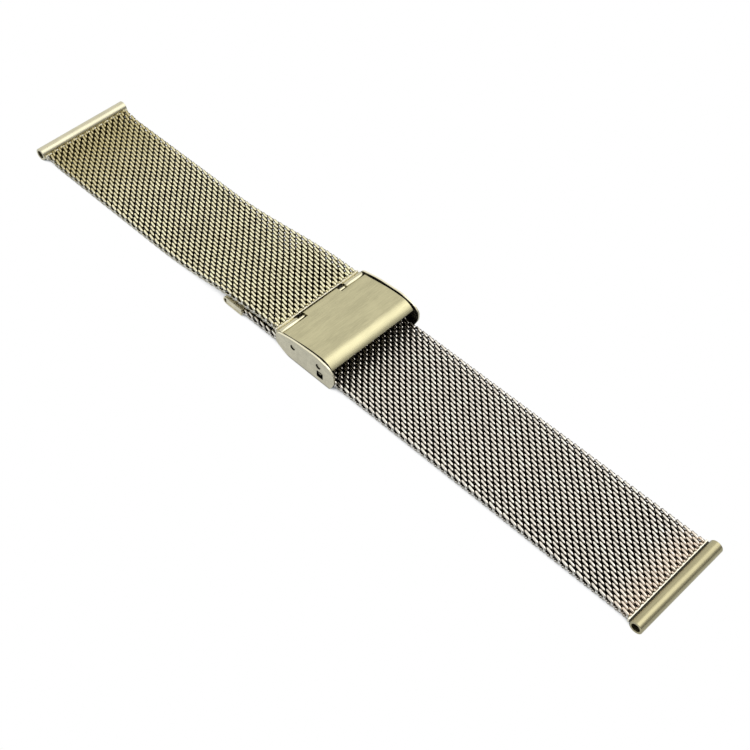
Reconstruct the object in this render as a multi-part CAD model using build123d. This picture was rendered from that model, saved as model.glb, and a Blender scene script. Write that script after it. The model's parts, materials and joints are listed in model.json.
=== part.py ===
from build123d import *
import math
import os

# A fine woven-mesh band in two halves, with a fold-over hook clasp and a rolled tube at each end.
# Frame: +X runs from the short half's end tube to the long half's, +Z from the skin side to the outside,
# Y across the band. Z = 0 is the surface that the band lies on and the origin is the middle of its
# footprint. Lengths are in millimetres and angles in degrees.

# Driving dimensions of the band
short_reach = 72.5  # hinge pin to the centre of the short half's end tube
long_reach = 83.55  # hinge pin to the centre of the long half's end tube
tail_reach = 15.95  # hinge pin to the free end of the long half, under the short half
band_width = 22.0  # length of an end tube
mesh_thickness = 1.5
sheet = 0.4  # clasp sheet metal

# Mesh: rows of wire spirals across the band, each row a rib
short_row_pitch = 0.83
long_row_pitch = 0.80
row_groove_depth = 0.16  # a row's pressed crest to the groove beside it
crest_flank_share = 0.22  # each sloping flank of a rib, as a share of its pitch
short_links = 6  # stretches that bend against each other
long_links = 6
hinge_stub_rows = 2  # rows that stay with the hook plate
clasp_rows = 27  # rows from the tail's bend to the first bend past the clasp
tail_rows = 10  # rows between the tail cap and the tail's bend
bend_gap = 0.25  # between the rounded end of a stretch and the socket of the next

# Lie of the short half: level at the hinge, then down over the tail to the surface, up again at its tube
lift_before_tail_end = 13.25  # the mesh starts down this far before the tail's free end
lift_run = 33.0
tube_rise_run = 4.3

# Pressed end strips and end tubes
strip_width = 0.35
strip_thickness = 1.0
strip_overhang = 0.1  # past the mesh at each side
tube_diameter = 2.6
tube_bore = 1.7
tube_overhang = 0.4  # past the mesh at each side
tube_groove = 0.25  # between the strip and the tube
neck_thickness = 0.5  # solder seam between the strip and the tube

# Tail cap: a folded strip of thin sheet crimped on the pressed end of the long mesh
cap_length = 5.15
cap_sheet = 0.3
cap_overhang = 0.1
pressed_thickness = 1.1

# Clearances
mesh_side_gap = 0.25  # long mesh to each cheek
mesh_under_gap = 0.05  # long mesh to the clasp's floor
lock_gap = 0.1  # long mesh to the lock plate
hook_floor_gap = 0.47  # lock plate to the hook
hook_clear = 0.08  # hook to its bar
hinge_clear = 0.03  # knuckles to the hinge pin
pin_fit = 0.01  # bars in the cheeks
snap_clear = 0.07  # spring clip to the snap bar
cover_side_gap = 0.3  # cover to each cheek
lock_side_gap = 0.2
knuckle_side_gap = 0.2
knuckle_gap = 0.14  # cover panel to the hook plate's knuckles
window_gap = 0.3  # hook plate's window to the cover's knuckle

# Hinge row: hook plate's two outer knuckles and the cover's middle one on a thin pin
hinge_pin_diameter = 0.7
outer_knuckle_length = 4.48
hinge_notch = 1.79  # bare pin between an outer knuckle and the middle one
hinge_over_bar = 0.1
strip_to_hinge = 0.95  # near face of the pressed strip

# Bars and what turns on them
bar_diameter = 1.1
bar_recess = 0.15  # bar ends below the cheeks' faces
hook_bar_run = 4.0  # hinge pin to the hook bar
snap_bar_run = 10.7
snap_over_hinge = 0.2
hook_tilt = 8.8
hook_leg = 0.5
hook_shoulder_run = 2.4  # hinge pin to where the hook plate narrows
hook_shoulder = 3.65  # step at each side there

# Cover: a level line from the hinge, a gentle crown and a rolled-down lip
cover_tilt = 10.5
cover_flat_run = 5.3
crown_radius = 31.6
lip_radius = 3.5
lip_turn = 50.0
knuckle_turn = 270.0

# Spring clips under the cover
clip_sheet = 0.3
clip_width = 3.0
clip_inset = 4.05  # each clip's middle from the cover's edge
clip_leg = 0.4  # legs below the snap bar's centre
clip_lead = 0.12  # flare at the mouth

# Lock lever: a plate that tilts on two tabs in the cheeks and presses the long mesh
lock_pivot_run = 11.1
lock_length = 4.8
lock_bead = 0.05  # pressing bead below the plate
lock_bead_width = 0.5
lock_tab_length = 0.8
lock_tab_reach = 0.2  # tab into the cheek
lock_slot_length = 1.5
lock_slot_height = 1.6
lock_slot_corner = 0.2
tool_notch_width = 2.4
tool_notch_depth = 0.8

# Cheeks of the clasp body
cheek_proud = 0.09  # crown of the cheeks above the cover
cheek_front = 0.5  # cheeks past the hinge pin
nose_run = 1.06  # cheeks past the cover's lip
bend_radius = 0.35  # middle of the sheet where the cheeks fold up
# Corners of a cheek as shares of its length and height, and each corner's radius as a share of its height
cheek_corner_shares = [
    (0.000, 0.330, 0.14),
    (0.225, 0.000, 1.50),
    (0.920, 0.000, 0.26),
    (0.998, 0.415, 0.50),
    (0.997, 0.720, 0.18),
    (0.905, 0.922, 0.35),
    (0.690, 1.012, 1.20),
    (0.290, 0.932, 3.00),
    (0.038, 0.778, 0.12),
    (0.000, 0.710, 0.06),
]

overrun = 1.0  # cutters past what they cut

# Derived places, up from the surface
bar_radius = bar_diameter / 2
tube_radius = tube_diameter / 2
tube_height = tube_radius
short_height = mesh_thickness / 2
long_height = sheet + mesh_under_gap + mesh_thickness / 2
lock_height = long_height + mesh_thickness / 2 + lock_gap + sheet / 2
hook_bar_height = lock_height + sheet / 2 + hook_floor_gap + sheet + hook_clear + bar_radius
hinge_height = hook_bar_height + hinge_over_bar
snap_bar_height = hinge_height + snap_over_hinge

# Derived places along the band
hinge_x = (short_reach - long_reach) / 2
hook_bar_x = hinge_x + hook_bar_run
snap_bar_x = hinge_x + snap_bar_run
lock_pivot_x = hinge_x + lock_pivot_run

# Derived sizes
mesh_width = band_width - 2 * tube_overhang
clasp_inside = mesh_width / 2 + mesh_side_gap
clasp_outside = clasp_inside + sheet
cover_half = clasp_inside - cover_side_gap
knuckle_reach = clasp_inside - knuckle_side_gap
knuckle_inner = knuckle_reach - outer_knuckle_length
hinge_pin_radius = hinge_pin_diameter / 2
knuckle_bore = hinge_pin_radius + hinge_clear
knuckle_middle = knuckle_bore + sheet / 2
knuckle_radius = knuckle_bore + sheet
hook_middle = bar_radius + hook_clear + sheet / 2
groove_half = mesh_thickness / 2 - row_groove_depth
strip_to_tube = tube_radius + tube_groove
lift_start = tail_reach - lift_before_tail_end
tube_rise_start = short_reach - strip_to_tube - strip_width - tube_rise_run
cover_tilt_cos = math.cos(math.radians(cover_tilt))
cover_tilt_sin = math.sin(math.radians(cover_tilt))


def across(profile, y_from, y_to):
    """Extrude an outline drawn in X and Z over a stretch of the band's width."""
    return extrude(Plane.XZ.offset(-y_to) * profile, y_to - y_from)


def full_width(profile, half_width):
    """Extrude an outline drawn in X and Z evenly to both sides of the band's middle."""
    return across(profile, -half_width, half_width)


def block(x_from, x_to, z_from, z_to):
    """A rectangle in X and Z."""
    middle = Pos((x_from + x_to) / 2, (z_from + z_to) / 2)
    return middle * Rectangle(x_to - x_from, z_to - z_from)


def disc(x, z, radius):
    return Pos(x, z) * Circle(radius)


def ease(share):
    """Height of a smooth half wave, 0 to 1, and its slope, at a share of its run."""
    share = min(max(share, 0), 1)
    height = (1 - math.cos(math.pi * share)) / 2
    slope = math.pi / 2 * math.sin(math.pi * share)
    return height, slope


def short_point(distance, rise):
    """A point of the short half, a distance from the hinge pin and a rise off the mesh's middle."""
    fall, fall_slope = ease((distance - lift_start) / lift_run)
    tube_rise, tube_slope = ease((distance - tube_rise_start) / tube_rise_run)
    hinge_drop = hinge_height - short_height
    tube_lift = tube_height - short_height
    height = hinge_height - hinge_drop * fall + tube_lift * tube_rise
    slope = tube_lift * tube_slope / tube_rise_run - hinge_drop * fall_slope / lift_run
    length = math.hypot(1, slope)
    return (hinge_x - distance + rise * slope / length, height + rise / length)


def long_point(distance, rise):
    """A point of the long half, a distance from the hinge pin and a rise off the mesh's middle."""
    return (hinge_x + distance, long_height + rise)


def mesh_stretch(point, start, pitch, rows, socket=False, rounded=False):
    """A ribbed stretch of mesh: each row is one rib above and below, with a socket or a round end."""
    half = mesh_thickness / 2
    flank = crest_flank_share * pitch
    end = start + rows * pitch
    crest = [(start, groove_half)]
    for row in range(rows):
        left = start + row * pitch
        crest += [(left + flank, half), (left + pitch - flank, half), (left + pitch, groove_half)]
    upper = [point(distance, rise) for distance, rise in crest]
    lower = [point(distance, -rise) for distance, rise in reversed(crest)]
    profile = make_face(Polyline(*upper, *lower, close=True).edges())
    if socket:
        pivot = point(start, 0)
        profile -= Pos(*pivot) * Rectangle(pitch, mesh_thickness + overrun)
        profile -= Pos(*pivot) * Circle(groove_half + bend_gap)
    if rounded:
        profile += Pos(*point(end, 0)) * Circle(groove_half)
    return full_width(profile, mesh_width / 2)


def split_rows(rows, links):
    """Rows of each stretch, as even as whole rows allow, the longer stretches first."""
    shortest, spare = divmod(rows, links)
    return [shortest + 1] * spare + [shortest] * (links - spare)


def save(name, shape):
    export_step(shape, f"parts/{name}.step")


def save_links(name, point, start, pitch, rows, links):
    """A row of mesh stretches, each with its socket towards the hinge. The last one ends flat."""
    for number, count in enumerate(split_rows(rows, links), start=1):
        last = number == links
        save(f"{name}_{number}", mesh_stretch(point, start, pitch, count, socket=True, rounded=not last))
        print(name, number, "bends at", [round(value, 3) for value in point(start, 0)])
        start += count * pitch


def end_tube(x):
    """A rolled tube with an open bore for a spring bar."""
    ring = disc(x, tube_height, tube_radius) - disc(x, tube_height, tube_bore / 2)
    return full_width(ring, band_width / 2)


def tube_strip(tube_x, direction, height):
    """The pressed end of the mesh, with its solder seam seated on the tube. The tube lies that way."""
    face_x = tube_x - direction * strip_to_tube
    mesh_x = face_x - direction * strip_width
    bar_profile = block(min(face_x, mesh_x), max(face_x, mesh_x), *around(height, strip_thickness))
    neck = block(min(face_x, tube_x), max(face_x, tube_x), *around(height, neck_thickness))
    profile = bar_profile + neck - disc(tube_x, tube_height, tube_radius)
    return full_width(profile, mesh_width / 2 + strip_overhang)


def around(middle, size):
    """The two ends of a size set evenly about its middle."""
    return middle - size / 2, middle + size / 2


def short_half():
    """The short half: strip and stub at the hinge, the bending stretches, then strip and tube."""
    start = strip_to_hinge + strip_width
    end = short_reach - strip_to_tube - strip_width
    rows = round((end - start) / short_row_pitch)
    pitch = (end - start) / rows
    strip = block(hinge_x - start, hinge_x - strip_to_hinge, *around(hinge_height, strip_thickness))
    save("short_hinge_strip", full_width(strip, mesh_width / 2 + strip_overhang))
    save("short_mesh_stub", mesh_stretch(short_point, start, pitch, hinge_stub_rows, rounded=True))
    bend = start + hinge_stub_rows * pitch
    save_links("short_mesh", short_point, bend, pitch, rows - hinge_stub_rows, short_links)
    save("short_tube_strip", tube_strip(hinge_x - short_reach, -1, tube_height))
    save("short_end_tube", end_tube(hinge_x - short_reach))


def tail_cap():
    """A strip folded over the tail, its fold round, with the pressed mesh seated inside."""
    free_end = hinge_x - tail_reach
    outside = pressed_thickness + 2 * cap_sheet
    open_end = free_end + cap_length
    shell = block(free_end + outside / 2, open_end, *around(long_height, outside))
    shell += disc(free_end + outside / 2, long_height, outside / 2)
    pocket = block(free_end + outside / 2, open_end + overrun, *around(long_height, pressed_thickness))
    pocket += disc(free_end + outside / 2, long_height, pressed_thickness / 2)
    return full_width(shell - pocket, mesh_width / 2 + cap_overhang)


def tail_mesh(pitch):
    """The tail's rows, with the pressed tongue that the cap holds. It bends about its last row."""
    start = cap_length - tail_reach
    rows = mesh_stretch(long_point, start, pitch, tail_rows, rounded=True)
    thickness = pressed_thickness - 2 * pin_fit
    tongue_start = cap_sheet + pressed_thickness / 2 - tail_reach
    tongue = block(hinge_x + tongue_start, hinge_x + start, *around(long_height, thickness))
    return rows + full_width(tongue, mesh_width / 2)


def long_half():
    """The long half: cap, tail, the stretch inside the clasp, the bending stretches, strip and tube."""
    start = cap_length - tail_reach
    end = long_reach - strip_to_tube - strip_width
    rows = round((end - start) / long_row_pitch)
    pitch = (end - start) / rows
    save("tail_cap", tail_cap())
    save("tail_mesh", tail_mesh(pitch))
    tail_bend = start + tail_rows * pitch
    print("tail bends at", round(hinge_x + tail_bend, 3), round(long_height, 3))
    save(
        "clasp_mesh",
        mesh_stretch(long_point, tail_bend, pitch, clasp_rows, socket=True, rounded=True),
    )
    first_bend = tail_bend + clasp_rows * pitch
    link_rows = rows - tail_rows - clasp_rows
    save_links("long_mesh", long_point, first_bend, pitch, link_rows, long_links)
    save("long_tube_strip", tube_strip(hinge_x + long_reach, 1, long_height))
    save("long_end_tube", end_tube(hinge_x + long_reach))


def cover_line():
    """Middle of the cover's sheet past its knuckle: a straight run, the crown and the lip."""
    knuckle_top = (
        hinge_x - knuckle_middle * cover_tilt_sin,
        hinge_height + knuckle_middle * cover_tilt_cos,
    )
    straight = Line(
        knuckle_top,
        (
            knuckle_top[0] + cover_flat_run * cover_tilt_cos,
            knuckle_top[1] + cover_flat_run * cover_tilt_sin,
        ),
    )
    crown = JernArc(straight @ 1, straight % 1, crown_radius, -cover_tilt)
    lip = JernArc(crown @ 1, crown % 1, lip_radius, -lip_turn)
    return straight, crown, lip


def cover_plate():
    """The cover: a panel with a crown and a lip, and a middle tongue rolled round the hinge pin."""
    straight, crown, lip = cover_line()
    panel = full_width(trace([straight, crown, lip], sheet), cover_half)
    panel_start = hinge_x + knuckle_radius + knuckle_gap
    trim = block(hinge_x - cover_flat_run, panel_start, 0, hinge_height + cover_flat_run)
    panel -= full_width(trim, clasp_outside)
    tongue_end = straight.position_at(2 * knuckle_radius, PositionMode.LENGTH)
    curl = CenterArc((hinge_x, hinge_height), knuckle_middle, cover_tilt + 90, knuckle_turn)
    tongue = trace([curl], sheet) + trace([Line(straight @ 0, tongue_end)], sheet)
    return panel + full_width(tongue, knuckle_inner - hinge_notch)


def clasp_body():
    """A folded channel: two cheeks on a floor, with holes for the bars and slots for the lock's tabs."""
    straight, crown, lip = cover_line()
    height = (crown @ 1).Y + sheet / 2 + cheek_proud
    lip_x = (lip @ 1).X + sheet / 2 * math.sin(math.radians(lip_turn))
    front_x = hinge_x - cheek_front
    length = lip_x + nose_run - front_x
    corners = [(front_x + x * length, z * height) for x, z, radius in cheek_corner_shares]
    radii = [radius * height for x, z, radius in cheek_corner_shares]
    outline = make_face(FilletPolyline(*corners, radius=radii, close=True).edges())
    outline -= disc(hook_bar_x, hook_bar_height, bar_radius + pin_fit)
    outline -= disc(snap_bar_x, snap_bar_height, bar_radius + pin_fit)
    slot = RectangleRounded(lock_slot_length, lock_slot_height, lock_slot_corner)
    outline -= Pos(lock_pivot_x, lock_height) * slot
    side = clasp_inside + sheet / 2
    fold = FilletPolyline(
        (-side, height + overrun),
        (-side, sheet / 2),
        (side, sheet / 2),
        (side, height + overrun),
        radius=bend_radius,
    )
    channel = extrude(Plane.YZ.offset(front_x - overrun) * trace([fold], sheet), length + 2 * overrun)
    return channel & full_width(outline, clasp_outside + overrun)


def clasp_bar(x, z):
    """A plain bar riveted through both cheeks."""
    return full_width(disc(x, z, bar_radius), clasp_outside - bar_recess)


def hook_plate():
    """The hook plate: two outer knuckles, a sheet with a window for the cover's knuckle, and the hook."""
    tilt = math.radians(hook_tilt)
    top = (
        hook_bar_x - hook_middle * math.sin(tilt),
        hook_bar_height + hook_middle * math.cos(tilt),
    )
    start_x = hinge_x + knuckle_middle
    start = (start_x, top[1] - (top[0] - start_x) * math.tan(tilt))
    straight = Line(start, top)
    curl = JernArc(straight @ 1, straight % 1, hook_middle, -180 - hook_tilt)
    leg = Line(curl @ 1, (curl @ 1) + (curl % 1) * hook_leg)
    bent_sheet = full_width(trace([straight, curl, leg], sheet), knuckle_reach)
    hook_end = hook_bar_x + hook_middle + sheet
    window_x = hinge_x + knuckle_radius + window_gap
    shoulder_x = hinge_x + hook_shoulder_run
    blank = Pos((start_x + shoulder_x) / 2, 0) * Rectangle(shoulder_x - start_x, 2 * knuckle_reach)
    blank -= Pos((start_x + window_x) / 2, 0) * Rectangle(window_x - start_x, 2 * knuckle_inner)
    hook_width = 2 * (knuckle_reach - hook_shoulder)
    blank += Pos((shoulder_x + hook_end) / 2, 0) * Rectangle(hook_end - shoulder_x, hook_width)
    plate = bent_sheet & extrude(blank, hinge_height + hook_bar_height)
    ring = disc(hinge_x, hinge_height, knuckle_radius) - disc(hinge_x, hinge_height, knuckle_bore)
    web = block(hinge_x - strip_to_hinge, hinge_x - knuckle_middle, *around(hinge_height, sheet))
    knuckle = ring + web
    for y_from, y_to in ((knuckle_inner, knuckle_reach), (-knuckle_reach, -knuckle_inner)):
        plate += across(knuckle, y_from, y_to)
    return plate


def hinge_pin():
    return full_width(disc(hinge_x, hinge_height, hinge_pin_radius), knuckle_reach)


def lock_plate():
    """The lock lever: a plate with a pressing bead and a tool notch, and a tab at each side."""
    tip_x = lock_pivot_x - lock_length
    low, high = around(lock_height, sheet)
    plate = block(tip_x, lock_pivot_x, low, high) + disc(lock_pivot_x, lock_height, sheet / 2)
    bead = block(tip_x, tip_x + lock_bead_width, low - lock_bead, high)
    body = full_width(plate + bead, clasp_inside - lock_side_gap)
    body -= Pos(tip_x, 0, lock_height) * Box(2 * tool_notch_depth, tool_notch_width, sheet + overrun)
    tab_x = lock_pivot_x + sheet / 2 - lock_tab_length
    tab = block(tab_x, lock_pivot_x, low, high) + disc(lock_pivot_x, lock_height, sheet / 2)
    return body + full_width(tab, clasp_inside + lock_tab_reach)


def snap_clip(middle_y):
    """A spring clip: sheet bent over the snap bar, its back seated on the cover's underside."""
    half_gap = bar_radius + snap_clear
    outside = half_gap + clip_sheet
    bottom = snap_bar_height - clip_leg
    top = hinge_height + 2 * cover_flat_run
    arch = block(snap_bar_x - outside, snap_bar_x + outside, bottom, top)
    arch -= block(snap_bar_x - half_gap, snap_bar_x + half_gap, bottom - overrun, snap_bar_height)
    straight, crown, lip = cover_line()
    roof = (crown @ 1).Y - sheet / 2 - clip_sheet
    arch -= block(snap_bar_x - half_gap, snap_bar_x + half_gap, snap_bar_height, roof)
    mouth = [
        (snap_bar_x - half_gap - clip_lead, bottom),
        (snap_bar_x - half_gap, bottom + clip_lead),
        (snap_bar_x + half_gap, bottom + clip_lead),
        (snap_bar_x + half_gap + clip_lead, bottom),
    ]
    arch -= make_face(Polyline(*mouth, close=True).edges())
    clip = across(arch, *around(middle_y, clip_width))
    sheet_back = trace([straight, crown, lip], sheet)
    ceiling = sheet_back + Pos(0, sheet) * sheet_back
    clip -= full_width(ceiling, clasp_outside)
    return min(clip.solids(), key=lambda solid: solid.center().Z)


def main():
    os.makedirs("parts", exist_ok=True)
    short_half()
    long_half()
    save("clasp_body", clasp_body())
    save("hook_bar", clasp_bar(hook_bar_x, hook_bar_height))
    save("snap_bar", clasp_bar(snap_bar_x, snap_bar_height))
    save("lock_plate", lock_plate())
    save("hook_plate", hook_plate())
    save("hinge_pin", hinge_pin())
    save("cover_plate", cover_plate())
    clip_place = cover_half - clip_inset
    save("snap_clip_near", snap_clip(-clip_place))
    save("snap_clip_far", snap_clip(clip_place))
    print("hinge", hinge_x, hinge_height)
    print("hook bar", hook_bar_x, hook_bar_height)
    print("lock pivot", lock_pivot_x, lock_height)


main()
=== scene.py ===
import json
import math

import bmesh
import bpy
from bpy.props import FloatProperty, FloatVectorProperty, IntProperty, PointerProperty
from mathutils import Matrix, Vector


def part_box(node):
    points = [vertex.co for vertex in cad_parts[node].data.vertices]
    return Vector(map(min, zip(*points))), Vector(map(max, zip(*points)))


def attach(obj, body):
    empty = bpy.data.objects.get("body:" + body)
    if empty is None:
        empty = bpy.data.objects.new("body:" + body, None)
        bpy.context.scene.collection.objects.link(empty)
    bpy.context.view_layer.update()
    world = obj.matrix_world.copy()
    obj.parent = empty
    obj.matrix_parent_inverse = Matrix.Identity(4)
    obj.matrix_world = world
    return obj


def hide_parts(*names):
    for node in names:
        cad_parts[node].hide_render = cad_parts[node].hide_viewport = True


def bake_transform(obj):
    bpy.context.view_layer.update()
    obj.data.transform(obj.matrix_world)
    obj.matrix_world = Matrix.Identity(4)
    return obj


bl_info = {
    "name": "Milanese mesh band",
    "version": (1, 0, 0),
    "blender": (4, 5, 0),
    "location": "3D View > Sidebar > Mesh Band",
    "description": "Dresses a woven wire band and its hook clasp for a studio picture",
    "category": "Object",
}

# Everything is in metres. +X runs from the short half's tube to the long half's, +Z up from the surface.
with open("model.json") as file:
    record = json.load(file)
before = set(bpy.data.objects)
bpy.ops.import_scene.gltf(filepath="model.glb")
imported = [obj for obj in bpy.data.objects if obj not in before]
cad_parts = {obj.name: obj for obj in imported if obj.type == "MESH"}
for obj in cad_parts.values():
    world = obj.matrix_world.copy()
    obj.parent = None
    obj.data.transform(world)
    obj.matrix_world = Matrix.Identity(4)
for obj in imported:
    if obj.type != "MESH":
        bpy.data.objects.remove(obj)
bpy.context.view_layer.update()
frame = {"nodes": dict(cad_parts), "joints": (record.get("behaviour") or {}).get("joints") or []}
nodes = frame["nodes"]
joints = {joint["name"]: joint for joint in frame["joints"]}


def middle(name):
    low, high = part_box(name)
    return (low + high) / 2


def joint_place(name):
    return Vector(joints[name]["pos_m"])


# Places taken from the solids
hinge_x = middle("hinge_pin").x
hinge_height = middle("hinge_pin").z
long_height = middle("long_mesh_3").z
mesh_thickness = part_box("long_mesh_3")[1].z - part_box("long_mesh_3")[0].z
mesh_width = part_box("long_mesh_3")[1].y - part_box("long_mesh_3")[0].y
mesh_side = mesh_width / 2
tube_height = middle("short_end_tube").z
short_height = mesh_thickness / 2

# Lie of the short half, as distances from the hinge pin
lift_start = 0.0027
lift_run = 0.0330
tube_rise_start = 0.0663
tube_rise_run = 0.0043

# Where the rows end
strip_width = 0.00035  # pressed strip beside a tube, up to its solder
strip_bare = 0.0002  # strip left bare where the open cover swings past, and beside the long half's tube
cap_cover = 0.0001  # mesh that runs on into the tail cap

# Grain of the finishes, in cycles per metre along each axis, so its smallest value is its direction
cover_grain = (6000, 500, 6000)
polished_grain = (7000, 200, 7000)
tube_grain = (9000, 260, 9000)
strip_grain = (9000, 2400, 9000)
inner_grain = (300, 6000, 6000)
satin_grain = (2600, 2600, 2600)
scuff_grain = (5200, 2600, 5200)
patch_grain = (420, 420, 420)
cloud_grain = (260, 260, 260)
mottle_grain = (30, 30, 30)

stretches = range(1, 7)  # numbers of a half's bends and of the bodies beyond them


# Sizes and colours that a user would change

class WeaveSettings(bpy.types.PropertyGroup):
    wire: FloatProperty(
        name="Wire", description="Diameter of the wire in the mesh", default=0.00052, unit="LENGTH")
    reach: FloatProperty(
        name="Coil reach", description="Middle of a row to the middle of the wire at its side bend",
        default=0.00072, unit="LENGTH")
    stroke_slope: FloatProperty(
        name="Stroke slope", description="Slant of the pressed strokes against the band's length",
        default=0.24)
    short_row: FloatProperty(
        name="Short row pitch", description="Distance from row to row in the short half",
        default=0.00083, unit="LENGTH")
    long_row: FloatProperty(
        name="Long row pitch", description="Distance from row to row in the long half",
        default=0.00080, unit="LENGTH")
    short_half_turns: IntProperty(
        name="Short half turns", description="Half turns of one row across the short half", default=25)
    long_half_turns: IntProperty(
        name="Long half turns", description="Half turns of one row across the long half", default=26)
    drift: FloatProperty(
        name="Drift", description="How far the rows wander from straight lines",
        default=0.00006, unit="LENGTH")
    bend_reach: FloatProperty(
        name="Bend reach", description="Mesh to each side of a bend that curves with it",
        default=0.0030, unit="LENGTH")


class FinishSettings(bpy.types.PropertyGroup):
    short_wire: FloatVectorProperty(
        name="Short half wire", description="Pressed face of the short half's wire",
        subtype="COLOR", size=3, default=(0.98, 0.92, 0.65))
    long_wire: FloatVectorProperty(
        name="Long half wire", description="Pressed face of the long half's wire",
        subtype="COLOR", size=3, default=(1.0, 0.935, 0.83))
    # painted shade deep between the short half's rows
    short_recess_shade: FloatVectorProperty(
        name="Short half recess", description="Dulled wire deep between the short half's rows",
        subtype="COLOR", size=3, default=(0.030, 0.021, 0.005))
    # painted shade deep between the long half's rows
    long_recess_shade: FloatVectorProperty(
        name="Long half recess", description="Dulled wire deep between the long half's rows",
        subtype="COLOR", size=3, default=(0.006, 0.004, 0.003))
    cover: FloatVectorProperty(
        name="Cover", description="Brushed plate on the cover",
        subtype="COLOR", size=3, default=(0.54, 0.50, 0.31))
    cheek: FloatVectorProperty(
        name="Cheek", description="Satin plate on the clasp body",
        subtype="COLOR", size=3, default=(0.64, 0.60, 0.45))
    bright: FloatVectorProperty(
        name="Bright plate", description="Polished pins and knuckles",
        subtype="COLOR", size=3, default=(0.60, 0.56, 0.40))
    short_end: FloatVectorProperty(
        name="Short half end", description="Filled mesh beside the short half's tube",
        subtype="COLOR", size=3, default=(0.50, 0.42, 0.19))
    long_end: FloatVectorProperty(
        name="Long half end", description="Filled mesh beside the long half's tube",
        subtype="COLOR", size=3, default=(0.92, 0.78, 0.64))
    strip: FloatVectorProperty(
        name="Strip", description="Pressed strips at the ends of the mesh",
        subtype="COLOR", size=3, default=(0.80, 0.76, 0.62))
    # painted light: the short half's tube takes a lighter copy of the tube plate and the long half's tube
    # a darker one, for how light falls on each; both have the same grain and roughness
    short_tube: FloatVectorProperty(
        name="Short half tube", description="Polished plate on the short half's end tube",
        subtype="COLOR", size=3, default=(0.63, 0.59, 0.43))
    long_tube: FloatVectorProperty(
        name="Long half tube", description="Brushed plate on the long half's end tube",
        subtype="COLOR", size=3, default=(0.42, 0.38, 0.23))
    floor: FloatVectorProperty(
        name="Floor", description="Studio floor", subtype="COLOR", size=3, default=(0.45, 0.55, 0.67))


class StudioSettings(bpy.types.PropertyGroup):
    lens: FloatProperty(
        name="Lens", description="Focal length in millimetres", default=68.39, unit="CAMERA")
    place: FloatVectorProperty(
        name="Camera place", description="Where the camera stands", subtype="TRANSLATION",
        unit="LENGTH", size=3, default=(0.12464, -0.12434, 0.20237))
    target: FloatVectorProperty(
        name="Camera target", description="Where the middle of the picture meets the floor",
        subtype="TRANSLATION", unit="LENGTH", size=3, default=(0.01133, -0.00270, 0.0))
    roll: FloatProperty(
        name="Camera roll", description="Turn about the line of sight", subtype="ANGLE",
        default=math.radians(2.06))
    softbox_place: FloatVectorProperty(
        name="Softbox place", description="Where the softbox hangs", subtype="TRANSLATION",
        unit="LENGTH", size=3, default=(0.19, 0.39, 0.66))
    softbox_size: FloatVectorProperty(
        name="Softbox size", description="Length and width of the softbox", unit="LENGTH", size=2,
        default=(0.64, 0.60))
    softbox_power: FloatProperty(
        name="Softbox power", description="Watts that the softbox gives", unit="POWER", default=1.32)


# Shader expressions

class Signal:
    """A shader socket that ordinary arithmetic works on."""

    def __init__(self, graph, socket):
        self.graph = graph
        self.socket = socket

    def __add__(self, other):
        return self.graph.maths("ADD", self, other)

    def __sub__(self, other):
        return self.graph.maths("SUBTRACT", self, other)

    def __mul__(self, other):
        return self.graph.maths("MULTIPLY", self, other)

    def __truediv__(self, other):
        return self.graph.maths("DIVIDE", self, other)

    def __radd__(self, other):
        return self.graph.maths("ADD", other, self)

    def __rsub__(self, other):
        return self.graph.maths("SUBTRACT", other, self)

    def __rmul__(self, other):
        return self.graph.maths("MULTIPLY", other, self)

    def __abs__(self):
        return self.graph.maths("ABSOLUTE", self)


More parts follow.
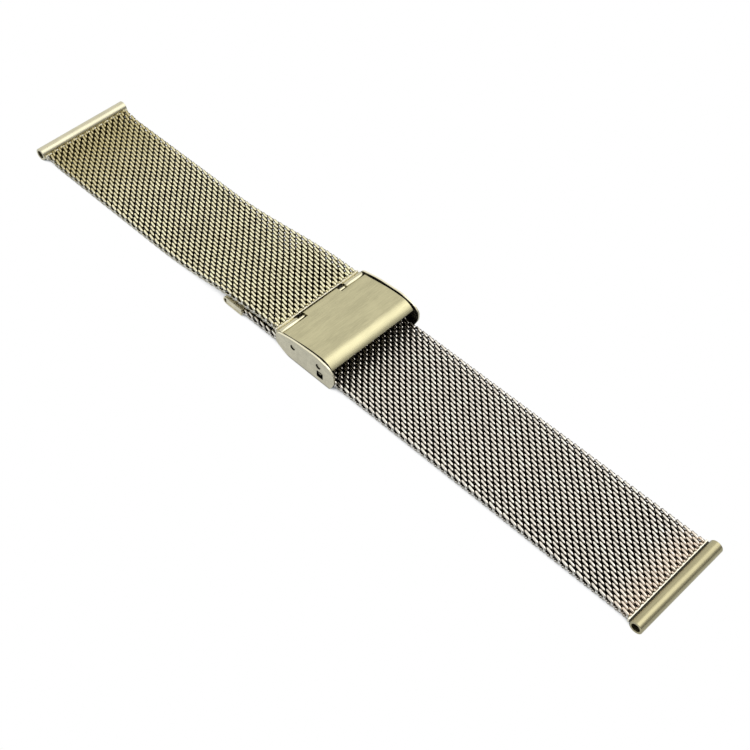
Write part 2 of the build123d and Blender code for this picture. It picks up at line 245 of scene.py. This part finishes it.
class Graph:
    """The node tree of one material or of the world."""

    def __init__(self, owner):
        owner.use_nodes = True
        self.tree = owner.node_tree
        self.tree.nodes.clear()

    def add(self, kind, settings=None, inputs=None, output=0):
        """Add a node: its settings first, then the values or links of its sockets."""
        node = self.tree.nodes.new(kind)
        for name, value in (settings or {}).items():
            setattr(node, name, value)
        for key, value in (inputs or {}).items():
            if isinstance(value, Signal):
                self.tree.links.new(value.socket, node.inputs[key])
            else:
                node.inputs[key].default_value = value
        if not node.outputs:
            return None
        return Signal(self, node.outputs[output])

    def maths(self, operation, *values):
        return self.add("ShaderNodeMath", {"operation": operation}, dict(enumerate(values)))

    def larger(self, first, second):
        return self.maths("MAXIMUM", first, second)

    def rise(self, value, low, high):
        """0 below low, 1 above high and a smooth step between."""
        return self.add(
            "ShaderNodeMapRange", {"interpolation_type": "SMOOTHSTEP"},
            {"Value": value, "From Min": low, "From Max": high})

    def mix(self, share, first, second):
        """One colour to another. Colours are links or triples."""
        first, second = [c if isinstance(c, Signal) else (*c, 1) for c in (first, second)]
        return self.add(
            "ShaderNodeMix", {"data_type": "RGBA"},
            {"Factor": share, 6: first, 7: second}, output=2)

    def place(self):
        return self.add("ShaderNodeTexCoord", output="Object")

    def upward(self):
        """How far up the surface faces: 1 for a level top and -1 for an underside."""
        return self.axis(self.add("ShaderNodeTexCoord", output="Normal"), 2)

    def scaled(self, vector, along_x, along_y, along_z):
        return self.add(
            "ShaderNodeVectorMath", {"operation": "MULTIPLY"},
            {0: vector, 1: (along_x, along_y, along_z)})

    def toward(self, vector, aim):
        """How far a vector points to an aim."""
        return self.add(
            "ShaderNodeVectorMath", {"operation": "DOT_PRODUCT"}, {0: vector, 1: aim}, output="Value")

    def noise(self, vector, detail=2.0, roughness=0.5):
        return self.add(
            "ShaderNodeTexNoise", inputs={
                "Vector": vector, "Scale": 1.0, "Detail": detail, "Roughness": roughness})

    def axis(self, vector, number):
        return self.add("ShaderNodeSeparateXYZ", inputs={"Vector": vector}, output=number)

    def seen_by(self, ray):
        """1 for rays of a kind, such as Is Camera Ray."""
        return self.add("ShaderNodeLightPath", output=ray)

    def bump(self, height, distance):
        return self.add(
            "ShaderNodeBump", inputs={"Height": height, "Strength": 1.0, "Distance": distance})

    def metal(self, colour, roughness, normal, edge_tint=(1, 1, 1)):
        shader = self.add(
            "ShaderNodeBsdfPrincipled", inputs={
                "Base Color": colour, "Metallic": 1.0, "Roughness": roughness, "Normal": normal,
                "Specular Tint": (*edge_tint, 1)})
        self.add("ShaderNodeOutputMaterial", inputs={"Surface": shader})


def new_material(name):
    material = bpy.data.materials.new(name)
    return material, Graph(material)


def scaled_colour(colour, share):
    """Darker below a share of 1 and brighter above."""
    return tuple(channel * share for channel in colour)


# Plate

def brushed(name, colour, grain, coarse, roughness, painted_shade_at=None, painted_highlight_at=None):
    """Brushed plate. Coarse is the grain of its streaks as a share of the hairs' grain.
    Two optional functions give the share of painted shade and of painted highlight at a place."""
    # the last value is the lightness of the painted highlight
    darkest, lightest, highlight_lightness = 0.86, 1.10, 1.36
    hair_share, streak_share, cloud_share = 0.45, 0.35, 0.2
    hair_depth = 0.000004
    unevenness = 0.16
    # painted shade: a near-black colour mixed in where shade falls
    painted_shade = (0.03, 0.028, 0.02)
    material, graph = new_material(name)
    place = graph.place()
    hairs = graph.noise(graph.scaled(place, *grain), detail=3.0, roughness=0.6)
    streaks = graph.noise(graph.scaled(place, *[value * coarse for value in grain]))
    clouds = graph.noise(graph.scaled(place, *cloud_grain))
    grain_tone = hairs * hair_share + streaks * streak_share + clouds * cloud_share
    tone = graph.rise(grain_tone, 0.34, 0.66)
    shade = graph.mix(tone, scaled_colour(colour, darkest), scaled_colour(colour, lightest))
    # painted highlight: a lighter copy of the plate's colour
    if painted_highlight_at:
        shade = graph.mix(painted_highlight_at(graph, place), shade, scaled_colour(colour, highlight_lightness))
    # painted shade, mixed in at the share that the shade function gives
    if painted_shade_at:
        shade = graph.mix(painted_shade_at(graph, place), shade, painted_shade)
    graph.metal(shade, roughness + (hairs - 0.5) * unevenness, graph.bump(hairs, hair_depth))
    return material


def body_painted_shade(graph, place):
    """Painted shade on the clasp body: on its inner faces and the walls of its holes, and a painted
    contact shadow along each cheek's foot.
    """
    mesh_room, fade = 0.00030, 0.00006
    foot_low, foot_high = 0.00035, 0.00085
    inside_shade_share, foot_shadow_share = 0.75, 0.65
    bar_hole = 0.00059  # from a bar's middle to the wall of its hole
    tab_slot = 0.00081  # from the tab's middle to the walls of its slot
    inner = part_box("clasp_mesh")[1].y + mesh_room
    along, across, height = [graph.axis(place, number) for number in range(3)]
    inside = 1 - graph.rise(abs(across), inner, inner + fade)
    # painted contact shadow along the foot of each cheek
    foot = 1 - graph.rise(height, foot_low, foot_high)
    painted_shade = graph.larger(inside * inside_shade_share, foot * foot_shadow_share)
    # painted shade on the walls of the bar holes and the tab slot
    for bar in ("hook_bar", "snap_bar"):
        painted_shade = graph.larger(painted_shade, inside_hole(graph, along, height, middle(bar), bar_hole, squareness=2))
    tab = joint_place("lock_tilt")
    return graph.larger(painted_shade, inside_hole(graph, along, height, tab, tab_slot, squareness=8))


def inside_hole(graph, along, height, centre, reach, squareness):
    """1 near a line across the band: a round area at a squareness of 2, near enough a square one at 8."""
    from_x = abs(along - centre.x) / reach
    from_z = abs(height - centre.z) / reach
    away = graph.maths("POWER", from_x, squareness) + graph.maths("POWER", from_z, squareness)
    return 1 - graph.rise(away, 1.0, 1.1)


def cheek_rim_highlight(graph, place):
    """1 on the top edges of the clasp body's cheeks, where a highlight is painted."""
    cheek_sheet, fade = 0.00040, 0.00010
    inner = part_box("clasp_body")[1].y - cheek_sheet
    on_cheek = graph.rise(abs(graph.axis(place, 1)), inner, inner + fade)
    return graph.rise(graph.upward(), 0.20, 0.60) * on_cheek


def cover_underside_shade(graph, place):
    """1 on the cover's underside and less on its cut side faces: painted shade there."""
    cut_shade_share = 0.7
    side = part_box("cover_plate")[1].y
    cut = graph.rise(abs(graph.axis(place, 1)), side - 0.00006, side - 0.00001)
    below = 1 - graph.rise(graph.upward(), -0.30, -0.05)
    return graph.larger(cut * cut_shade_share, below)


def long_tube_groove_shade(graph, place):
    """1 in the groove between the long half's strip and its tube, where shade is painted."""
    fade = 0.00002
    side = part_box("long_tube_strip")[0].x + strip_width
    return graph.rise(graph.axis(place, 0), side - fade, side)


def long_tube_flank_shade(graph, place):
    """1 on the flank that the long half's tube turns to the mesh, where shade is painted."""
    shade_from, shade_to = 0.00020, 0.00012
    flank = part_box("long_end_tube")[0].x
    return 1 - graph.rise(graph.axis(place, 0), flank + shade_to, flank + shade_from)


# Wire

def woven_wire(name, colour, recess_shade, pressed_and_lit_from, end_colour, end_run, tube_end, other_end):
    """Drawn wire: bright on the pressed faces, with painted shade deep between the rows and on the far
    side's loops, and a painted grey sheen on the near side's loops. It shows the pressed colour instead of
    the painted shade from a share of the mesh's half thickness up, and lower down near both ends."""
    pressed_and_lit_run = 0.17
    tube_crest_gain, other_crest_gain = 0.12, 0.22
    other_run = 0.003
    darkest, lightest, scuffed, edges = 0.88, 1.08, 0.6, 0.6
    scuff_depth = 0.000006
    scuff_share, end_share, filled_share, side_share = 0.25, 0.75, 0.8, 0.8
    filled_gap_shade = 0.45
    # painted sheen: grey of the near side's loops as they look lit
    near_loop_sheen = (0.74, 0.73, 0.68)
    deep_roughness, worn_smoother, unevenness = 0.36, 0.12, 0.12
    material, graph = new_material(name)
    place = graph.place()
    crest = graph.add("ShaderNodeAttribute", {"attribute_name": "crest"}, output="Fac")
    patches = graph.noise(graph.scaled(place, *patch_grain))
    scuffs = graph.noise(graph.scaled(place, *scuff_grain), detail=3.0)
    tone = graph.rise(patches, 0.3, 0.7)
    pressed = graph.mix(tone, scaled_colour(colour, darkest), scaled_colour(colour, lightest))
    scuffing = graph.rise(scuffs, 0.50, 0.75) * scuff_share
    pressed = graph.mix(scuffing, pressed, scaled_colour(colour, scuffed))
    along, across = graph.axis(place, 0), graph.axis(place, 1)
    by_tube = 1 - graph.rise(abs(along - tube_end), 0.0, end_run)
    by_other = 1 - graph.rise(abs(along - other_end), 0.0, other_run)
    # crest height that decides where the painted shade gives way to the pressed colour, raised near both
    # ends
    height = crest + by_tube * tube_crest_gain + by_other * other_crest_gain
    # painted shade on the far side's loops and a painted grey sheen on the near side's loops
    far_side_shade, near_side_sheen = side_loops(graph, across), side_loops(graph, 0 - across)
    pressed_and_lit = graph.rise(height, pressed_and_lit_from, pressed_and_lit_from + pressed_and_lit_run) * (1 - far_side_shade * side_share)
    pressed = graph.mix(by_tube * end_share, pressed, end_colour)
    pressed = graph.mix(near_side_sheen * side_share, pressed, near_loop_sheen)
    # painted shade in the gaps: the recess shade, mixed near the tube with a darker copy of the end colour
    shaded_and_filled = graph.mix(by_tube * filled_share, recess_shade, scaled_colour(end_colour, filled_gap_shade))
    # painted shade below the pressed faces
    shade = graph.mix(pressed_and_lit, shaded_and_filled, pressed)
    roughness = deep_roughness - pressed_and_lit * worn_smoother + (scuffs - 0.5) * unevenness
    bumps = graph.bump(scuffs, scuff_depth)
    graph.metal(shade, roughness, bumps, edge_tint=scaled_colour(colour, edges))
    return material


def side_loops(graph, outward):
    """1 on the loops at one side of the band, for a distance outward from its middle line."""
    loops_from, loops_to = 0.0006, 0.0002
    return graph.rise(outward, mesh_side - loops_from, mesh_side - loops_to)


# Floor

def floor_finish(name, colour):
    """A pale floor that shows as plain white and keeps the shadow."""
    shadow_reach = 0.007
    shadow_samples = 16
    mottle_share, mottled = 0.04, 0.9
    mirror_share = 0.7
    material, graph = new_material(name)
    mottle = graph.noise(graph.scaled(graph.place(), *mottle_grain))
    shade = graph.mix(mottle * mottle_share, colour, scaled_colour(colour, mottled))
    matte = graph.add("ShaderNodeBsdfDiffuse", inputs={"Color": shade})
    glow = graph.add("ShaderNodeEmission", inputs={"Color": (1, 1, 1, 1), "Strength": 1.0})
    open_sky = graph.add(
        "ShaderNodeAmbientOcclusion", {"samples": shadow_samples}, {"Distance": shadow_reach},
        output="AO")
    in_view = graph.seen_by("Is Camera Ray") * graph.rise(open_sky, 0.08, 0.42)
    in_metal = graph.seen_by("Is Glossy Ray") * graph.rise(open_sky, 0.02, 0.30)
    share = graph.larger(in_view, in_metal * mirror_share)
    shader = graph.add("ShaderNodeMixShader", inputs={0: share, 1: matte, 2: glow})
    graph.add("ShaderNodeOutputMaterial", inputs={"Surface": shader})
    return material


# Lie of the two halves

def ease(share):
    """Height of a smooth half wave, 0 to 1, and its slope, at a share of its run."""
    share = min(max(share, 0), 1)
    return (1 - math.cos(math.pi * share)) / 2, math.pi / 2 * math.sin(math.pi * share)


def short_place(distance):
    """Place and slope of the short half's middle at a distance from the hinge pin."""
    fall, fall_slope = ease((distance - lift_start) / lift_run)
    tube_rise, tube_slope = ease((distance - tube_rise_start) / tube_rise_run)
    drop = hinge_height - short_height
    lift = tube_height - short_height
    height = hinge_height - drop * fall + lift * tube_rise
    slope = drop * fall_slope / lift_run - lift * tube_slope / tube_rise_run
    turn = Matrix.Rotation(-math.atan(slope), 4, "Y")
    return Matrix.Translation((hinge_x - distance, 0, height)) @ turn


def long_place(distance):
    return Matrix.Translation((hinge_x + distance, 0, long_height))


# Mesh made with bmesh operators

def pressed_turn(centre, reach, height, turn, slope):
    """Where the wire's middle lies in the pressed coil: long flat strokes and tight side bends.
    The second value is the wire's fullness there, as the bends swell when the strokes are pressed."""
    roundness = 0.4  # 1 would leave the coil round, 0 would make it a box
    bend_power = 6  # the higher, the nearer to the side bends the wire turns back
    swelling, swell_power = 0.42, 4
    angle = math.atan2(centre.z, centre.x)
    side = 1 if angle >= 0 else -1
    across, up = math.cos(angle), math.sin(angle)
    boxed_x = math.copysign(abs(across) ** roundness, across)
    boxed_z = math.copysign(abs(up) ** roundness, up)
    at_bend = math.copysign(abs(across) ** bend_power, across)
    stroke = -side * (slope * reach * boxed_x + (turn / 4 - slope * reach) * at_bend)
    even = turn * (angle - side * math.pi / 2) / (2 * math.pi)
    place = Vector((reach * boxed_x, centre.y + stroke - even, height * boxed_z))
    return place, 1 + swelling * abs(across) ** swell_power


def coil_row(settings, half_turns, first_turn):
    """One row: a wire wound across the band, its top and bottom pressed flat.
    Its crest attribute rises from 0 at the mesh's middle height to 1 on its faces, and is high on the
    loops at both sides too."""
    sides = 6
    steps_per_half_turn = 5
    # side loops' crest, lower on the far side so that the material paints more shade there
    near_loop_crest, far_loop_crest = 0.94, 0.76
    bm = bmesh.new()
    crest = bm.verts.layers.float.new("crest")
    wire_radius = settings.wire / 2
    span = mesh_width - settings.wire
    steps = half_turns * steps_per_half_turn
    start = Matrix.Translation((0, -span / 2, 0)) @ Matrix.Rotation(-first_turn * math.pi, 4, "Y")
    at_side = Matrix.Translation((settings.reach, 0, 0)) @ Matrix.Rotation(math.pi / sides, 4, "Z")
    ring = bmesh.ops.create_circle(
        bm, cap_ends=False, segments=sides, radius=wire_radius, matrix=start @ at_side)
    edges = list({edge for vert in ring["verts"] for edge in vert.link_edges})
    bmesh.ops.spin(
        bm, geom=ring["verts"] + edges, cent=(0, -span / 2, 0), axis=(0, -1, 0),
        dvec=(0, span / steps, 0), angle=half_turns * math.pi, steps=steps)
    height = mesh_thickness / 2 - wire_radius * math.cos(math.pi / sides)
    loops_from = mesh_side - 2 * settings.wire
    turn = 2 * span / half_turns
    bm.verts.ensure_lookup_table()
    for first in range(0, len(bm.verts), sides):
        circle = bm.verts[first:first + sides]
        centre = sum((vert.co for vert in circle), Vector()) / sides
        place, fullness = pressed_turn(centre, settings.reach, height, turn, settings.stroke_slope)
        for vert in circle:
            vert.co = place + (vert.co - centre) * fullness
            at_loops = min(max((abs(vert.co.y) - loops_from) / settings.wire, 0), 1)
            loop_crest = near_loop_crest if vert.co.y < 0 else far_loop_crest
            vert[crest] = max(abs(vert.co.z) / (mesh_thickness / 2), loop_crest * at_loops)
    bmesh.ops.holes_fill(bm, edges=[edge for edge in bm.edges if edge.is_boundary], sides=sides)
    bmesh.ops.recalc_face_normals(bm, faces=bm.faces)
    for face in bm.faces:
        face.smooth = True
    mesh = bpy.data.meshes.new("row")
    bm.to_mesh(mesh)
    bm.free()
    return mesh


def weave(name, row_meshes, places, cuts, settings, material):
    """A stretch of mesh: rows at their places, every other one started half a turn on.
    It ends at the cuts, each a point and the direction that is cut away."""
    bm = bmesh.new()
    bm.verts.layers.float.new("crest")
    for number, place in places:
        before = len(bm.verts)
        bm.from_mesh(row_meshes[number % 2])
        bm.verts.ensure_lookup_table()
        bmesh.ops.transform(bm, matrix=place, verts=bm.verts[before:])
    for vert in bm.verts:
        vert.co.x += settings.drift * wander(vert.co.x, vert.co.y)
    for point, away in cuts:
        cut_flat(bm, point, away)
    return piece_from(name, bm, material)


def wander(along, across):
    """Which way and how far the rows wander at a place, from -1 to 1."""
    waves_across = 430
    waves_along = 160
    sway = 1.5
    return math.sin(across * waves_across + math.sin(along * waves_along) * sway)


def cut_flat(bm, point, away):
    """Cut off what lies beyond a point in a direction and close the cut."""
    cut = bmesh.ops.bisect_plane(
        bm, geom=bm.verts[:] + bm.edges[:] + bm.faces[:], plane_co=point, plane_no=away, clear_outer=True)
    rims = [item for item in cut["geom_cut"] if isinstance(item, bmesh.types.BMEdge)]
    bmesh.ops.holes_fill(bm, edges=rims, sides=0)


def piece_from(name, bm, material):
    mesh = bpy.data.meshes.new(name)
    bm.to_mesh(mesh)
    bm.free()
    mesh.materials.append(material)
    piece = bpy.data.objects.new(name, mesh)
    bpy.context.scene.collection.objects.link(piece)
    return piece


def rows_between(place, start, end, pitch):
    """The number and the place of each row from start to end, as even as whole rows allow.
    One more row at each end reaches past it."""
    count = round((end - start) / pitch)
    step = (end - start) / count
    return [(number, place(start + (number + 0.5) * step)) for number in range(-1, count + 1)]


def end_cuts(place, start, end):
    """The planes that a half ends at: a point on each and the direction that leads away from the half."""
    inward = 0.0001
    cuts = []
    for distance, step in ((start, inward), (end, -inward)):
        point = place(distance).translation
        cuts.append((point, (point - place(distance + step).translation).normalized()))
    return cuts


def weave_half(prefix, rows, cuts, bends, bodies, row_meshes, settings, material):
    """Pieces from the middle of one stretch to the middle of the next, one for each bend."""
    pieces = []
    seams = [(first.x + second.x) / 2 for first, second in zip(bends, bends[1:])]
    sign = 1 if bends[-1].x > bends[0].x else -1
    lows = [-math.inf] + [sign * seam for seam in seams]
    highs = [sign * seam for seam in seams] + [math.inf]
    for number, (bend, low, high) in enumerate(zip(bends, lows, highs)):
        chosen = [row for row in rows if low <= sign * row[1].translation.x < high]
        piece = weave(f"{prefix}_{number + 1}", row_meshes, chosen, cuts, settings, material)
        reach = Vector((sign * settings.bend_reach, 0, 0))
        bodies[number + 1]
        bend - reach
        bend + reach
        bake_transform(piece)
        pieces.append(piece)
    return pieces


def merged_copy(node):
    """A CAD node's own shape, with the corners of its loose triangles joined."""
    corner_reach = 0.000001
    bm = bmesh.new()
    bm.from_mesh(nodes[node].data)
    bmesh.ops.remove_doubles(bm, verts=bm.verts, dist=corner_reach)
    return bm


def tongue_in_cap(material):
    """The pressed end of the long half, which the tail cap is folded round."""
    bm = merged_copy("tail_mesh")
    cut_flat(bm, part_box("tail_cap")[1] - Vector((cap_cover, 0, 0)), Vector((1, 0, 0)))
    piece = piece_from("tail_tongue", bm, material)
    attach(piece, "tail")
    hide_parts("tail_mesh")


def dressed(node, material, body, edge):
    """A CAD node's own shape as a piece, with its sharp edges rounded."""
    flat = math.radians(0.5)
    sharp = math.radians(35)
    crease = math.radians(40)
    bm = merged_copy(node)
    bmesh.ops.dissolve_limit(bm, angle_limit=flat, verts=bm.verts, edges=bm.edges)
    corners = [e for e in bm.edges if e.is_manifold and e.calc_face_angle() > sharp]
    bmesh.ops.bevel(
        bm, geom=corners, affect="EDGES", offset=edge, segments=2, profile=0.5, material=-1,
        clamp_overlap=True)
    for face in bm.faces:
        face.smooth = True
    for bent in bm.edges:
        bent.smooth = not bent.is_manifold or bent.calc_face_angle() < crease
    piece = piece_from(node + "_dressed", bm, material)
    piece.modifiers.new("even shading", "WEIGHTED_NORMAL").keep_sharp = True
    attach(piece, body)
    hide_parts(node)


# Operators

class MESHBAND_OT_short_weave(bpy.types.Operator):
    """Weave the short half, from the hinge strip to its end tube"""
    bl_idname = "meshband.short_weave"
    bl_label = "Short Half"

    def execute(self, context):
        settings = context.scene.mesh_band_weave
        finish = context.scene.mesh_band_finish
        near_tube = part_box("short_tube_strip")[1].x - strip_width
        near_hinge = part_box("short_hinge_strip")[1].x - strip_bare
        material = woven_wire(
            "short_mesh_wire_finish", tuple(finish.short_wire), tuple(finish.short_recess_shade),
            pressed_and_lit_from=0.73, end_colour=tuple(finish.short_end), end_run=0.028,
            tube_end=near_tube, other_end=near_hinge)
        start = hinge_x - near_hinge
        end = hinge_x - near_tube
        rows = rows_between(short_place, start, end, settings.short_row)
        cuts = end_cuts(short_place, start, end)
        row_meshes = [coil_row(settings, settings.short_half_turns, turn) for turn in (0, 1)]
        bends = [joint_place(f"short_flex_{number}") for number in stretches]
        bodies = ["hook"] + [f"short_{number}" for number in stretches]
        pieces = weave_half("short_weave", rows, cuts, bends, bodies, row_meshes, settings, material)
        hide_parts("short_mesh_stub")
        for number, piece in enumerate(pieces, start=1):
            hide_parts(f"short_mesh_{number}")
        return {"FINISHED"}


class MESHBAND_OT_long_weave(bpy.types.Operator):
    """Weave the long half, from the tail cap through the clasp to its end tube"""
    bl_idname = "meshband.long_weave"
    bl_label = "Long Half"

    def execute(self, context):
        settings = context.scene.mesh_band_weave
        finish = context.scene.mesh_band_finish
        near_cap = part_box("tail_cap")[1].x - cap_cover
        near_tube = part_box("long_tube_strip")[0].x + strip_width - strip_bare
        material = woven_wire(
            "long_mesh_wire_finish", tuple(finish.long_wire), tuple(finish.long_recess_shade),
            pressed_and_lit_from=0.76, end_colour=tuple(finish.long_end), end_run=0.007,
            tube_end=near_tube, other_end=near_cap)
        start = near_cap - hinge_x
        end = near_tube - hinge_x
        rows = rows_between(long_place, start, end, settings.long_row)
        cuts = end_cuts(long_place, start, end)
        row_meshes = [coil_row(settings, settings.long_half_turns, turn) for turn in (0, 1)]
        names = ["tail_flex"] + [f"long_flex_{number}" for number in stretches]
        bends = [joint_place(name) for name in names]
        bodies = ["tail", "band"] + [f"long_{number}" for number in stretches]
        pieces = weave_half("long_weave", rows, cuts, bends, bodies, row_meshes, settings, material)
        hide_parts("tail_mesh")
        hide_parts("clasp_mesh")
        for number, piece in enumerate(pieces):
            if number:
                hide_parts(f"long_mesh_{number}")
        return {"FINISHED"}


class MESHBAND_OT_ends(bpy.types.Operator):
    """Finish the pressed strips, the end tubes and the tail cap"""
    bl_idname = "meshband.ends"
    bl_label = "Strips and Tubes"

    def execute(self, context):
        finish = context.scene.mesh_band_finish
        strip = brushed(
            "strip_finish", tuple(finish.strip), strip_grain, coarse=0.2, roughness=0.34,
            painted_shade_at=long_tube_groove_shade)
        # painted light: lighter and darker copies of one tube plate
        short_tube = brushed(
            "short_tube_lit_finish", tuple(finish.short_tube), tube_grain, coarse=0.2, roughness=0.36)
        long_tube = brushed(
            "long_tube_shaded_finish", tuple(finish.long_tube), tube_grain, coarse=0.2, roughness=0.36,
            painted_shade_at=long_tube_flank_shade)
        # painted light: the cheek plate's colour lightened for the tail cap, standing in for light it
        # misses in the mesh's shade
        cap = brushed(
            "cap_lightened_finish", scaled_colour(finish.cheek, 1.22), satin_grain, coarse=0.3, roughness=0.40)
        dressed("short_hinge_strip", strip, "hook", edge=0.00008)
        dressed("short_tube_strip", strip, "short_6", edge=0.00006)
        dressed("long_tube_strip", strip, "long_6", edge=0.00006)
        dressed("short_end_tube", short_tube, "short_6", edge=0.00007)
        dressed("long_end_tube", long_tube, "long_6", edge=0.00007)
        dressed("tail_cap", cap, "tail", edge=0.00010)
        tongue_in_cap(cap)
        return {"FINISHED"}


class MESHBAND_OT_clasp(bpy.types.Operator):
    """Finish the clasp's cover, body, hook plate, lock lever, clips and bars"""
    bl_idname = "meshband.clasp"
    bl_label = "Clasp"

    def execute(self, context):
        finish = context.scene.mesh_band_finish
        cover = brushed(
            "cover_finish", tuple(finish.cover), cover_grain, coarse=0.14, roughness=0.37,
            painted_shade_at=cover_underside_shade)
        cheek = brushed(
            "cheek_finish", tuple(finish.cheek), satin_grain, coarse=0.3, roughness=0.36,
            painted_shade_at=body_painted_shade, painted_highlight_at=cheek_rim_highlight)
        bright = brushed(
            "bright_finish", tuple(finish.bright), polished_grain, coarse=0.2, roughness=0.22)
        # painted shade: the bright plate at half its colour for the parts inside the clasp
        inner = brushed(
            "inner_shaded_finish", scaled_colour(finish.bright, 0.5), inner_grain, coarse=0.2, roughness=0.30)
        dressed("cover_plate", cover, "cover", edge=0.00006)
        dressed("clasp_body", cheek, "clasp", edge=0.00012)
        dressed("hook_plate", bright, "hook", edge=0.00004)
        dressed("hinge_pin", bright, "hook", edge=0.00004)
        dressed("hook_bar", bright, "clasp", edge=0.00008)
        dressed("snap_bar", bright, "clasp", edge=0.00008)
        dressed("lock_plate", inner, "lock", edge=0.00004)
        dressed("snap_clip_near", inner, "cover", edge=0.00003)
        dressed("snap_clip_far", inner, "cover", edge=0.00003)
        return {"FINISHED"}


class MESHBAND_OT_stage(bpy.types.Operator):
    """Set up the floor, the soft light and the camera"""
    bl_idname = "meshband.stage"
    bl_label = "Stage"

    def execute(self, context):
        studio = context.scene.mesh_band_studio
        finish = context.scene.mesh_band_finish
        self.add_floor(floor_finish("floor_finish", tuple(finish.floor)))
        self.light_world(context.scene)
        self.add_softbox(context.scene, studio)
        self.add_camera(context.scene, studio)
        context.scene.view_settings.view_transform = "Standard"
        return {"FINISHED"}

    def add_floor(self, material):
        reach = 1.6
        bm = bmesh.new()
        bmesh.ops.create_grid(bm, x_segments=2, y_segments=2, size=reach)
        floor = piece_from("floor", bm, material)

    def light_world(self, scene):
        """A sky that is brighter on one side and high up, and plain white in the camera's view."""
        dark_side, bright_side = (0.20, 0.20, 0.21), (1.06, 1.06, 1.04)
        overhead = (1.15, 1.15, 1.12)
        bright_from = (-0.88, 0.10, 0.46)
        overhead_from = (0.30, 0.46, 0.835)
        white = (1, 1, 1)
        world = bpy.data.worlds.new("studio")
        scene.world = world
        graph = Graph(world)
        direction = graph.add("ShaderNodeTexCoord", output="Generated")
        to_bright_side = graph.rise(graph.toward(direction, bright_from), -0.2, 1.1)
        to_overhead = graph.rise(graph.toward(direction, overhead_from), 0.72, 0.97)
        sky = graph.mix(to_bright_side, dark_side, bright_side)
        sky = graph.mix(to_overhead, sky, overhead)
        sky = graph.mix(graph.seen_by("Is Camera Ray"), sky, white)
        light = graph.add("ShaderNodeBackground", inputs={"Color": sky, "Strength": 1.0})
        graph.add("ShaderNodeOutputWorld", inputs={"Surface": light})

    def add_softbox(self, scene, studio):
        data = bpy.data.lights.new("softbox", "AREA")
        data.shape = "RECTANGLE"
        data.size, data.size_y = studio.softbox_size
        data.energy = studio.softbox_power
        lamp = bpy.data.objects.new("softbox", data)
        lamp.matrix_world = looking(Vector(studio.softbox_place), Vector((0, 0, 0)), 0)
        scene.collection.objects.link(lamp)

    def add_camera(self, scene, studio):
        data = bpy.data.cameras.new("camera")
        data.lens = studio.lens
        data.clip_start = 0.01
        camera = bpy.data.objects.new("camera", data)
        camera.matrix_world = looking(Vector(studio.place), Vector(studio.target), studio.roll)
        scene.collection.objects.link(camera)
        scene.camera = camera


def looking(place, target, roll):
    """Stand at a place, look at a target and turn about the line of sight."""
    turn = (target - place).to_track_quat("-Z", "Y").to_matrix().to_4x4()
    return Matrix.Translation(place) @ turn @ Matrix.Rotation(roll, 4, "Z")


class MESHBAND_PT_panel(bpy.types.Panel):
    """Sidebar panel of the mesh band"""
    bl_idname = "MESHBAND_PT_panel"
    bl_label = "Mesh Band"
    bl_space_type = "VIEW_3D"
    bl_region_type = "UI"
    bl_category = "Mesh Band"

    def draw(self, context):
        scene = context.scene
        for group in (scene.mesh_band_weave, scene.mesh_band_finish, scene.mesh_band_studio):
            box = self.layout.box()
            for name in group.__annotations__:
                box.prop(group, name)
        for operator in operators:
            self.layout.operator(operator.bl_idname)


operators = (
    MESHBAND_OT_short_weave,
    MESHBAND_OT_long_weave,
    MESHBAND_OT_ends,
    MESHBAND_OT_clasp,
    MESHBAND_OT_stage,
)
classes = (WeaveSettings, FinishSettings, StudioSettings) + operators + (MESHBAND_PT_panel,)


def register():
    for item in classes:
        bpy.utils.register_class(item)
    bpy.types.Scene.mesh_band_weave = PointerProperty(type=WeaveSettings)
    bpy.types.Scene.mesh_band_finish = PointerProperty(type=FinishSettings)
    bpy.types.Scene.mesh_band_studio = PointerProperty(type=StudioSettings)


def unregister():
    del bpy.types.Scene.mesh_band_studio
    del bpy.types.Scene.mesh_band_finish
    del bpy.types.Scene.mesh_band_weave
    for item in reversed(classes):
        bpy.utils.unregister_class(item)


def main():
    register()
    bpy.ops.meshband.short_weave()
    bpy.ops.meshband.long_weave()
    bpy.ops.meshband.ends()
    bpy.ops.meshband.clasp()
    bpy.ops.meshband.stage()


if __name__ == "__main__":
    main()
